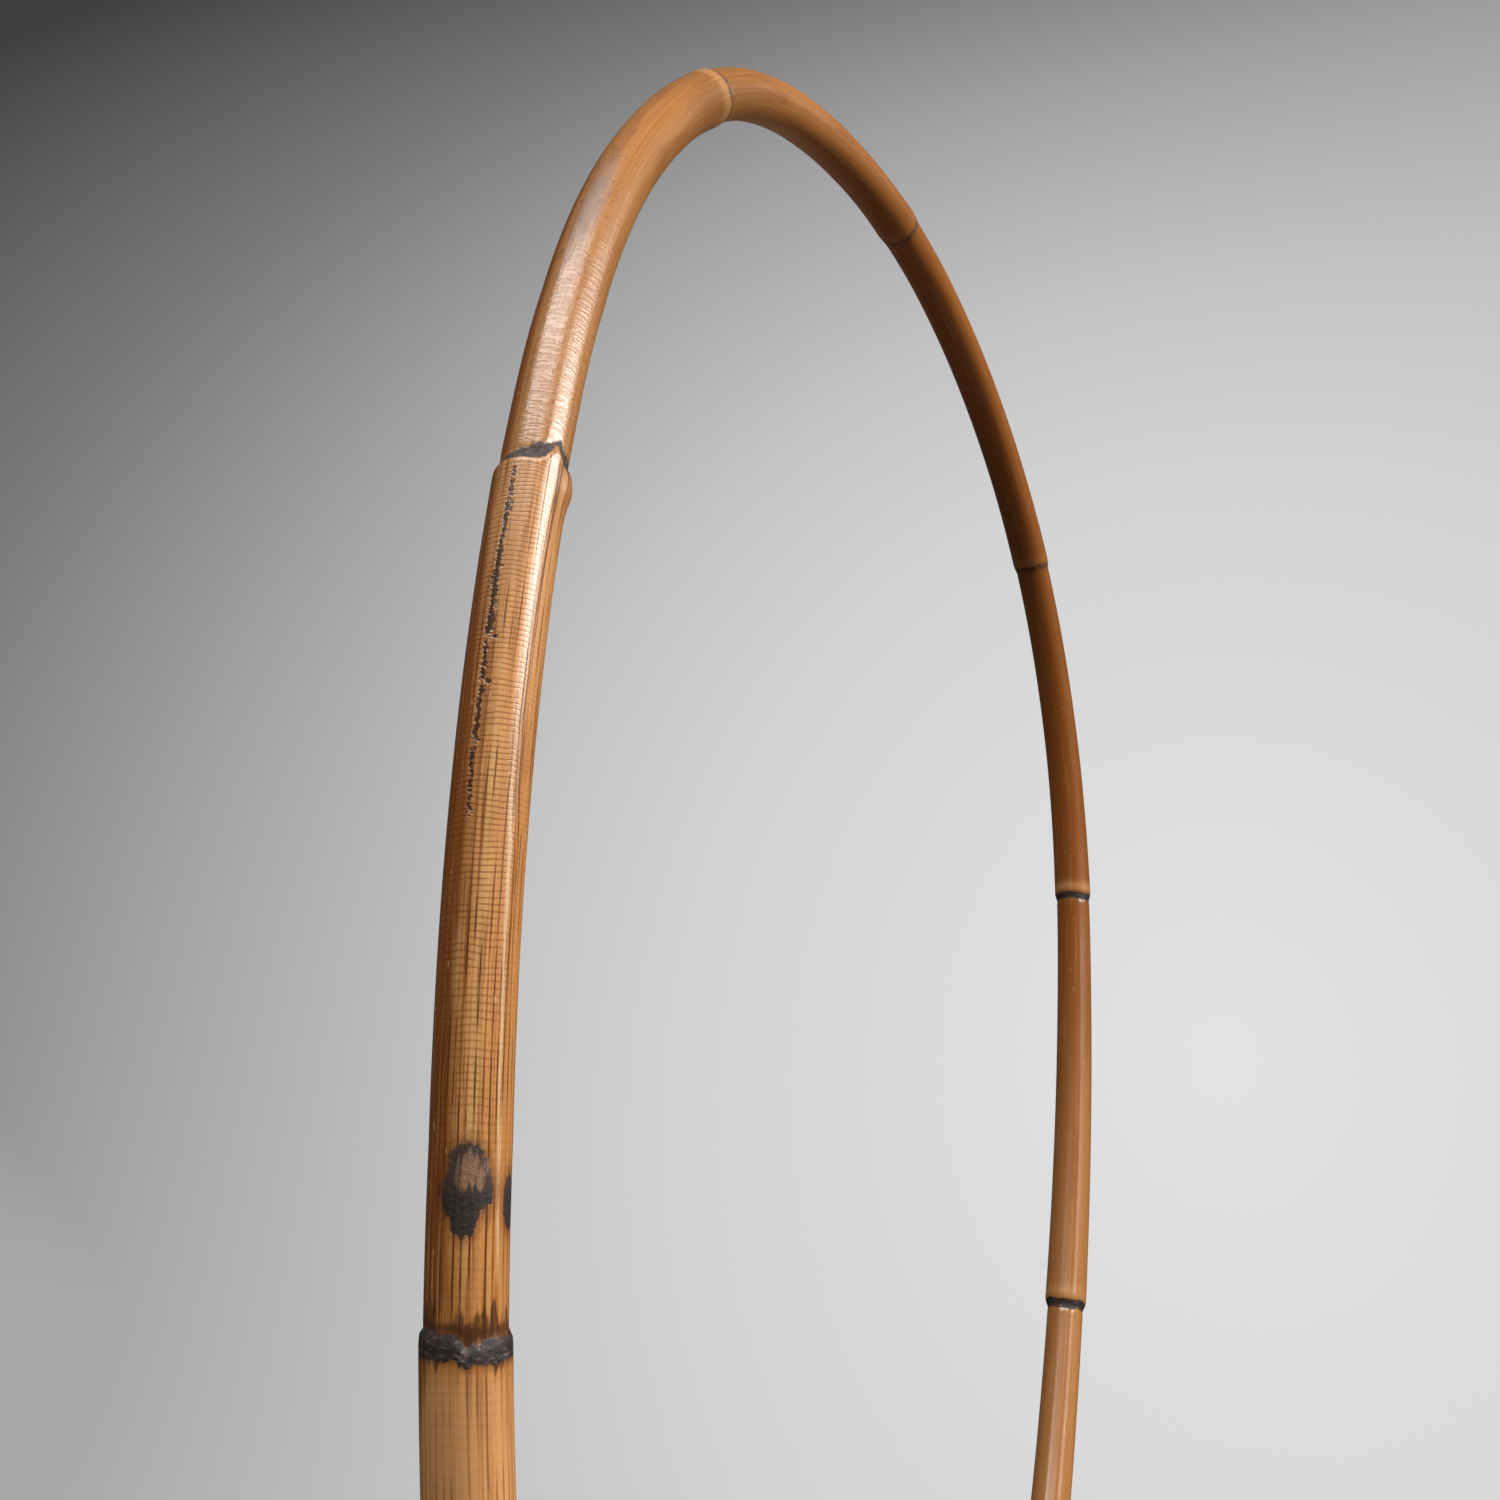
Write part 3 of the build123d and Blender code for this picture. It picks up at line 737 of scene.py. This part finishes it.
# Hairline crazing across the fibres, closer towards the upper joint
craze_brown = (0.23, 0.058, 0.010)
craze_drift = skin_noise((1.2, 2.0, 2.0), 1.0)
craze_place = sum_of(skin_mark("craze_row"), craze_drift, 1.6)
craze_break = rise(skin_noise((8.0, 3.0, 3.0), 1.0), 0.30, 0.46)
craze_line = product_of(product_of(rows_of_lines(craze_place, 0.24), craze_break), skin_mark("crazed"))
skin_colour = tinted(craze_line, 0.62, craze_brown)

# Pale chips, the stain above the lower joint, and the dull specked patch on the near shoulder of the arch
chip_cream, stain_brown = (0.82, 0.55, 0.28), (0.085, 0.026, 0.010)
dull_brown, speck_brown = (0.16, 0.098, 0.080), (0.075, 0.045, 0.038)
chipped = product_of(rise(skin_noise((6.0, 12.0, 12.0), 1.0), 0.72, 0.76), fibrous_here)
skin_colour = tinted(chipped, 0.7, chip_cream)
ragged = figure("SUBTRACT", skin_noise((3.0, 13.0, 13.0), 4.0), 0.5)
stained = rise(sum_of(skin_mark("stain"), ragged, 4.0), 0.30, 0.85)
skin_colour = tinted(stained, 0.80, stain_brown)
dull_mark = skin_mark("dull_patch")
dulled = rise(sum_of(dull_mark, ragged, 1.2), 0.0, 0.75)
skin_colour = tinted(dulled, 0.62, dull_brown)
specked = product_of(rise(skin_noise((9.0, 9.0, 9.0)), 0.60, 0.68), rise(dull_mark, -0.5, 0.1))
skin_colour = tinted(specked, 0.5, speck_brown)

# The bud channel's ridge with a painted highlight, a cream line along its top, and the two dark lines beside
# it
ridge_highlight_cream, channel_brown = (0.95, 0.68, 0.40), (0.15, 0.045, 0.008)
beside_ridge = figure("SUBTRACT", skin_mark("ridge_path"), turn)
ridge_run = product_of(rise(along, -31.0, -24.5), rise(along, -20.55, -20.65))
off_ridge = figure("ABSOLUTE", sum_of(beside_ridge, ragged, 0.10))
# Painted highlight: a dashed cream line down the ridge's top
ridge_highlight_run = product_of(rise(along, -31.0, -30.0), rise(along, -23.0, -24.5))
ridge_highlight = product_of(product_of(rise(off_ridge, 0.075, 0.03), ridge_highlight_run), rise(streak, 0.38, 0.56))
skin_colour = tinted(ridge_highlight, 0.8, ridge_highlight_cream)
for line_place in (0.16, 0.28):
    line_gap = figure("ABSOLUTE", figure("SUBTRACT", beside_ridge, line_place))
    line_here = product_of(rise(sum_of(line_gap, ragged, 0.06), 0.040, 0.015), ridge_run)
    skin_colour = tinted(line_here, 0.75, channel_brown)

# The long crack: short splits one below another, each a little further round, with notches where they step.
# Split: station and angle of its top, station and angle of its foot, and half its width
crack_splits = (
    (-208.8, 78, -213.5, 74, 0.22), (-213.5, 76, -221.0, 80, 0.30), (-221.0, 79, -231.5, 79, 0.42),
    (-233.0, 80, -237.5, 81, 0.28), (-238.8, 81, -245.0, 81, 0.28), (-246.5, 84, -254.0, 80, 0.20),
    (-231.8, 78, -232.4, 67, 0.18), (-237.6, 80, -238.2, 68, 0.18), (-245.0, 86, -245.5, 78, 0.20),
)
crack_dark = (0.050, 0.022, 0.014)
crack_radius = 4.75
jag = 0.9
jag_along = skin_noise((24.0, 5.0, 5.0))
jag_round = skin_noise((11.0, 9.0, 9.0))
spot = add_node(
    tree,
    "ShaderNodeCombineXYZ",
    {
        0: sum_of(product_of(along, 10.0), jag_along, jag),
        1: sum_of(product_of(turn, crack_radius), jag_round, jag),
    },
).outputs[0]
crack_depth = None
for from_s, from_turn, to_s, to_turn, half_width in crack_splits:
    tip = np.array([from_s + jag / 2, math.radians(from_turn) * crack_radius + jag / 2, 0.0])
    run = np.array([to_s - from_s, math.radians(to_turn - from_turn) * crack_radius, 0.0])
    from_tip = vector_figure("SUBTRACT", spot, tip)["Vector"]
    along_run = vector_figure("DOT_PRODUCT", from_tip, run / (run @ run))["Value"]
    held = add_node(tree, "ShaderNodeClamp", {0: along_run}).outputs[0]
    nearest = add_node(tree, "ShaderNodeVectorMath", {0: run, 3: held}, operation="SCALE").outputs[0]
    depth = figure("SUBTRACT", half_width, vector_figure("DISTANCE", from_tip, nearest)["Value"])
    crack_depth = depth if crack_depth is None else figure("MAXIMUM", crack_depth, depth)
torn = figure("SUBTRACT", skin_noise((20.0, 14.0, 14.0)), 0.5)
cracked = rise(sum_of(crack_depth, torn, 1.5), -0.14, 0.16)
skin_colour = tinted(cracked, 0.88, crack_dark)

# Burns: a brown scorch round them, black char drawn along the fibres, brown above, and a worn hairy tan heart
scorch_brown, heart_tan = (0.17, 0.050, 0.010), (0.42, 0.235, 0.125)
char_black, char_brown = (0.013, 0.010, 0.011), (0.050, 0.028, 0.020)
torn_burn = sum_of(sum_of(skin_mark("burn"), ragged, 0.7), torn, 0.35)
skin_colour = tinted(rise(torn_burn, -0.55, 0.05), 0.45, scorch_brown)
burnt = rise(torn_burn, 0.0, 0.20)
char_tint = colour_mix(tree, rise(along, -29.60, -29.35), char_black, char_brown)
skin_colour = tinted(burnt, 0.96, char_tint)
burn_hair = skin_noise((5.0, 24.0, 24.0), 3.0)
burnt_core = rise(sum_of(sum_of(skin_mark("burn_core"), ragged), burn_hair, 1.4), 0.75, 1.25)
skin_colour = tinted(burnt_core, 0.8, heart_tan)

# Joint rings: dark and lumpy, smoked brown beside, with painted glints of pale grey in them, and a thin
# painted highlight along the crest of the lower one
smoke_brown, crest_highlight_grey, ring_painted_glint = (0.10, 0.038, 0.016), (0.30, 0.27, 0.27), (0.20, 0.185, 0.19)
ring_black, ring_brown = (0.013, 0.010, 0.010), (0.085, 0.050, 0.042)
ring_mark, crest_mark = skin_mark("ring"), skin_mark("ring_crest")
ring_here = sum_of(sum_of(ring_mark, ragged, 0.9), torn, 0.6)
under_collar = product_of(rise(crest_mark, -1.9, -0.6), rise(crest_mark, 3.0, 2.2))
smoked = figure("MAXIMUM", product_of(rise(ring_here, 0.0, 0.45), ring_mark), under_collar)
skin_colour = tinted(smoked, 0.75, smoke_brown)
ringed = product_of(rise(ring_here, 0.32, 0.66), rise(ring_mark, 0.02, 0.15))
ring_lumps = skin_noise((14.0, 9.0, 9.0), 3.0)
ring_tint = colour_mix(tree, rise(ring_lumps, 0.45, 0.70), ring_black, ring_brown)
# Painted glints: pale grey specks in the rings
ring_tint = colour_mix(tree, rise(skin_noise((30.0, 20.0, 20.0)), 0.62, 0.72), ring_tint, ring_painted_glint)
skin_colour = tinted(ringed, 0.94, ring_tint)
# Painted highlight: a thin grey line along the lower collar's crest
crest_gap = figure("ABSOLUTE", sum_of(sum_of(crest_mark, 0.35), torn, 0.9))
crest_highlight_line = product_of(product_of(rise(crest_gap, 0.20, 0.06), ringed), rise(ring_lumps, 0.40, 0.60))
skin_colour = tinted(crest_highlight_line, 0.45, crest_highlight_grey)
tree.links.new(skin_colour, shader.inputs["Base Color"])

# Gloss: the lacquer is gone from burnt skin and rings, worn on the dull patch,
# and finely rippled above the upper joint
charred = figure("MAXIMUM", burnt, ringed)
ripple = product_of(rise(skin_noise((22.0, 4.0, 4.0)), 0.42, 0.62), skin_mark("rippled"))
satin = sum_of(sum_of(sum_of(skin_mark("satin_run"), streak, 0.10), charred, 0.40), dulled, 0.16)
satin = sum_of(satin, ripple, 0.14)
tree.links.new(satin, shader.inputs["Roughness"])
fibre_height = product_of(product_of(streak, fibrous_here), 0.15)
skin_height = sum_of(sum_of(fibre_height, craze_line, -0.12), fibre_line, -0.20)
skin_height = sum_of(product_of(skin_height, figure("SUBTRACT", 1.0, burnt)), ripple, -0.22)
skin_height = sum_of(skin_height, cracked, -1.4)
skin_height = sum_of(skin_height, product_of(sum_of(ragged, torn), charred), 1.5)
add_relief(tree, shader, skin_height)
fit_piece(handle_skin, skin_finish, "basket", "handle_skin", "handle_cane")

# Handle pegs
# Four short bamboo pegs driven through leg, hoops and stake, with their ends left a little proud.
# They are bare, and pin each leg at the rim and at the foot.
peg_colours = ((0.50, 0.30, 0.12), (0.32, 0.17, 0.06))
dress_node("handle_pegs", split_bamboo("peg_bamboo", *peg_colours, roughness=0.5, run="X"))

# Handle lashings
# The same peeled cane, wound round each leg and the stake behind it, through the gaps between rows.
# Two on each leg keep it from swinging on its pegs.
leg_offset = 7.9
leg_lash_gap = 0.05
stake_lash_gap = 0.6
core_offset = 4.0
lash_turns = 3
face_angles = np.radians(np.arange(90, -91, -22.5))


def leg_winding(name, side_turn, first_gap):
    """Turns round leg and stake: level behind the stake, then a half circle over the leg, up one row."""
    radial = np.array([math.cos(side_turn), math.sin(side_turn), 0.0])
    sideways = np.array([-math.sin(side_turn), math.cos(side_turn), 0.0])
    up = np.array([0.0, 0.0, 1.0])
    leg = np.flatnonzero(half == np.sign(radial[0]))
    leg = leg[np.argsort(axis_z[leg])]
    back_half = stake_width / 2 + stake_lash_gap + lash_thickness
    corners, cores = [], []
    for turn_index in range(lash_turns + 1):
        level = row_start + (first_gap + turn_index) * row_pitch - (row_pitch - row_height) / 2
        wall = rim_radius - (rim_height - level) * math.tan(lean)
        back = radial * (wall - stake_thickness / 2 - lash_lift) + up * level
        core = radial * (wall + core_offset) + up * level
        corners += [back - sideways * back_half, back + sideways * back_half]
        cores += [core, core]
        if turn_index == lash_turns:
            break
        climb = level + row_pitch * (math.pi / 2 - face_angles) / math.pi
        climb_wall = rim_radius - (rim_height - climb) * math.tan(lean) + leg_offset / math.cos(lean)
        leg_axis = radial * climb_wall[:, None] + up * climb[:, None]
        face = radial * np.cos(face_angles)[:, None] + sideways * np.sin(face_angles)[:, None]
        girth = np.interp(climb, axis_z[leg], cane_r[leg].mean(axis=1)) + leg_lash_gap + lash_thickness / 2
        corners += list(leg_axis + face * girth[:, None])
        cores += list(leg_axis)
    return wound_strip(name, np.array(corners), np.array(cores))


for place, side_turn in (("near", math.pi), ("far", 0.0)):
    for part_of_leg, first_gap in (("lower", 1), ("upper", row_count - 1 - lash_turns)):
        cad_name = f"handle_lashing_{place}_{part_of_leg}"
        winding = leg_winding(cad_name + "_wound", side_turn, first_gap)
        fit_piece(winding, lash_finish, "basket", "lashing_cane", cad_name)

# Water tube
# A length of thick culm, closed below by its own joint, that stands loose on the slats and lifts out.
# The skin is aged yellow-brown, the cut rim and the inside are bare.
# Outline: radius and height from the floor inside, up the bore, over the rim and down outside past the joint
tube_outline = np.array(
    [
        (24.0, 26.0), (27.0, 26.3), (29.2, 27.6), (30.0, 29.6), (30.0, 85.0), (30.0, 142.8),
        (30.3, 144.2), (31.5, 145.0), (33.5, 145.0), (34.7, 144.3), (35.0, 142.9), (35.0, 90.0), (35.0, 34.0),
        (35.5, 31.0), (36.1, 29.2), (36.2, 27.8), (35.3, 26.6), (35.1, 25.0), (35.0, 18.5), (34.4, 17.2),
        (33.0, 17.0),
    ]
)
tube_colours = ((0.50, 0.31, 0.115), (0.40, 0.225, 0.075))
tube_turn = np.linspace(0, 2 * math.pi, 160, endpoint=False)
outside = tube_outline[:, :1] > 34
tube_r = tube_outline[:, :1] * (1 + 0.003 * np.cos(2 * tube_turn + 0.4) * outside)
tube_points = np.stack(
    np.broadcast_arrays(tube_r * np.cos(tube_turn), tube_r * np.sin(tube_turn), tube_outline[:, 1:]), axis=-1
)
tube_grain = tube_points[..., [2, 0, 1]] / 10
tube_finish = split_bamboo("tube_culm", *tube_colours, roughness=0.38, coat=0.1, furrow=0.8)
tube = add_surface("water_tube_culm", tube_points[None], tube_grain[None])
fit_piece(tube, tube_finish, "water_tube", "tube_culm", "water_tube")

# Studio
# A round pale floor that sweeps up into a grey backdrop.
# The backdrop glows by itself as painted light, not lit by the lamps: brightest in a pool low on the right
# and darker high on the left.
sweep_radius, sweep_bend, sweep_top = 2600.0, 900.0, 4600.0
sweep_sides = 128
bend_angle = np.linspace(0, math.pi / 2, 24)
sweep_r = np.concatenate(
    [[1.0, 700.0], sweep_radius - sweep_bend + sweep_bend * np.sin(bend_angle), [sweep_radius, sweep_radius]]
)
sweep_z = np.concatenate([[0.0, 0.0], sweep_bend - sweep_bend * np.cos(bend_angle), [2500.0, sweep_top]])
sweep_turn = np.linspace(0, 2 * math.pi, sweep_sides, endpoint=False)[:, None]
sweep_points = np.stack(
    np.broadcast_arrays(sweep_r * np.cos(sweep_turn), sweep_r * np.sin(sweep_turn), sweep_z), axis=-1
).reshape(-1, 3)
sweep_index = np.arange(sweep_sides * len(sweep_r)).reshape(sweep_sides, len(sweep_r))
sweep_next = np.roll(sweep_index, -1, axis=0)
sweep_quads = np.stack(
    [sweep_index[:, :-1], sweep_next[:, :-1], sweep_next[:, 1:], sweep_index[:, 1:]], axis=-1
)
sweep_faces = sweep_quads.reshape(-1, 4).tolist() + [sweep_index[:, 0].tolist()]
sweep_mesh = bpy.data.meshes.new("backdrop_sweep")
sweep_mesh.from_pydata((sweep_points * mm).tolist(), [], sweep_faces)
sweep_mesh.flip_normals()
sweep_mesh.polygons.foreach_set("use_smooth", np.ones(len(sweep_mesh.polygons), bool))
sweep = bpy.data.objects.new("backdrop_sweep", sweep_mesh)
bpy.context.scene.collection.objects.link(sweep)
sweep.visible_glossy = False
sweep.visible_diffuse = False

sweep_finish = bpy.data.materials.new("backdrop_sweep")
sweep_finish.use_nodes = True
sweep_tree = sweep_finish.node_tree
sweep_tree.nodes.clear()


def sweep_vector(operation, *values):
    """One sum on places of the backdrop, by the operation's own name."""
    return add_node(sweep_tree, "ShaderNodeVectorMath", dict(enumerate(values)), operation=operation).outputs


# Painted light: the glowing backdrop's pool, its spread, and the least grey it keeps low on the wall
picture_right = (0.5105, -0.860, 0.0)
painted_light_pool, painted_light_spread = (0.9, 1.0), (0.25, 0.1875)
floor_colour, low_wall_glow = (0.62, 0.62, 0.62, 1.0), 0.395
sweep_place = add_node(sweep_tree, "ShaderNodeTexCoord").outputs["Object"]
sweep_level = add_node(sweep_tree, "ShaderNodeSeparateXYZ", {0: sweep_place}).outputs[2]
sweep_right = sweep_vector("DOT_PRODUCT", sweep_place, picture_right)["Value"]
sweep_spot = add_node(sweep_tree, "ShaderNodeCombineXYZ", {0: sweep_right, 1: sweep_level}).outputs[0]
sweep_spot = sweep_vector("SUBTRACT", sweep_spot, (*painted_light_pool, 0.0))["Vector"]
sweep_spot = sweep_vector("MULTIPLY", sweep_spot, (*painted_light_spread, 0.0))["Vector"]
sweep_away = sweep_vector("LENGTH", sweep_spot)["Value"]
sweep_ramp = add_node(sweep_tree, "ShaderNodeValToRGB", {0: sweep_away})
for position, grey in ((0.25, 0.65), (0.35, 0.55), (0.49, 0.36), (0.60, 0.20), (0.73, 0.053)):
    stop = sweep_ramp.color_ramp.elements.new(position)
    stop.color = (grey, grey, grey, 1.0)
for stop, grey in ((sweep_ramp.color_ramp.elements[0], 0.77), (sweep_ramp.color_ramp.elements[-1], 0.03)):
    stop.color = (grey, grey, grey, 1.0)
low_wall = smooth_step(sweep_tree, sweep_level, 1.4, 0.3)
low_grey = add_node(
    sweep_tree, "ShaderNodeMath", {0: low_wall, 1: low_wall_glow}, operation="MULTIPLY"
).outputs[0]
sweep_grey = add_node(
    sweep_tree, "ShaderNodeMath", {0: sweep_ramp.outputs["Color"], 1: low_grey}, operation="MAXIMUM"
).outputs[0]
sweep_glow = add_node(sweep_tree, "ShaderNodeEmission", {"Color": sweep_grey})
sweep_floor = add_node(sweep_tree, "ShaderNodeBsdfDiffuse", {"Color": floor_colour})
sweep_flat = sweep_vector("MULTIPLY", sweep_place, (1.0, 1.0, 0.0))["Vector"]
sweep_far = sweep_vector("LENGTH", sweep_flat)["Value"]
sweep_join = add_node(sweep_tree, "ShaderNodeMixShader", {0: smooth_step(sweep_tree, sweep_far, 0.8, 1.6)})
sweep_tree.links.new(sweep_floor.outputs[0], sweep_join.inputs[1])
sweep_tree.links.new(sweep_glow.outputs[0], sweep_join.inputs[2])
sweep_out = add_node(sweep_tree, "ShaderNodeOutputMaterial")
sweep_tree.links.new(sweep_join.outputs[0], sweep_out.inputs["Surface"])
sweep_mesh.materials.append(sweep_finish)

# Lights
# A wide softbox in front draws the bright stripe down the near leg.
# A wider one high on the left draws the sheen above it, and a third fills from behind on the right.
# A board low in front lifts the underside of the arch, and the room's air lifts the rest.


def add_softbox(name, place, aim, size, power, tint, mirrored=True):
    """Rectangular lamp from its place to its aim, in metres and watts, mirrored in glossy skins or not."""
    lamp = bpy.data.lights.new(name, "AREA")
    lamp.shape = "RECTANGLE"
    lamp.size, lamp.size_y = size
    lamp.energy = power
    lamp.color = tint
    softbox = bpy.data.objects.new(name, lamp)
    back = np.array(place) - np.array(aim)
    back = back / np.linalg.norm(back)
    side = np.cross((0.0, 0.0, 1.0), back)
    side = side / np.linalg.norm(side)
    up = np.cross(back, side)
    columns = np.eye(4)
    columns[:3, :3] = np.stack([side, up, back], axis=1)
    columns[:3, 3] = place
    softbox.matrix_world = Matrix(columns.tolist())
    softbox.visible_camera = False
    softbox.visible_glossy = mirrored
    bpy.context.scene.collection.objects.link(softbox)


add_softbox("key_softbox", (0.04, -0.98, 0.97), (-0.115, 0.0, 0.31), (0.90, 0.35), 13.6, (1.0, 0.97, 0.94))
add_softbox("high_softbox", (-1.08, -0.23, 1.50), (-0.115, 0.0, 0.335), (1.5, 0.65), 21.0, (1.0, 0.97, 0.95))
add_softbox("back_softbox", (1.0, 0.65, 0.80), (0.0, 0.0, 0.20), (0.8, 0.8), 8.0, (1.0, 1.0, 1.0), False)
add_softbox(
    "low_board", (0.22, -0.22, 0.003), (0.21, -0.21, 0.45), (0.40, 0.40), 0.5, (1.0, 0.92, 0.80), False
)
world = bpy.data.worlds.new("studio_air")
world.use_nodes = True
world.node_tree.nodes["Background"].inputs["Color"].default_value = (0.055, 0.047, 0.038, 1.0)
bpy.context.scene.world = world

# Camera
# A phone held close under the handle, a little above the height of the basket's rim.
# It looks up past the near leg to the arch.
camera_place = np.array([-0.2352, -0.1079, 0.1988])
pan, tilt, roll = 1.035, 0.4601, -0.1012
level_right = np.array([math.cos(pan), -math.sin(pan), 0.0])
level_ahead = np.array([math.sin(pan), math.cos(pan), 0.0])
straight_up = np.array([0.0, 0.0, 1.0])
look = level_ahead * math.cos(tilt) + straight_up * math.sin(tilt)
tilted_up = -level_ahead * math.sin(tilt) + straight_up * math.cos(tilt)
camera_axes = np.eye(4)
camera_axes[:3, 0] = level_right * math.cos(roll) - tilted_up * math.sin(roll)
camera_axes[:3, 1] = level_right * math.sin(roll) + tilted_up * math.cos(roll)
camera_axes[:3, 2] = -look
camera_axes[:3, 3] = camera_place
camera = bpy.data.objects.new("photo_camera", bpy.data.cameras.new("photo_camera"))
camera.data.lens = 36.0
camera.data.sensor_width = 36.0
camera.data.clip_start = 0.01
camera.matrix_world = Matrix(camera_axes.tolist())
bpy.context.scene.collection.objects.link(camera)
bpy.context.scene.camera = camera
bpy.context.scene.view_settings.view_transform = "Standard"
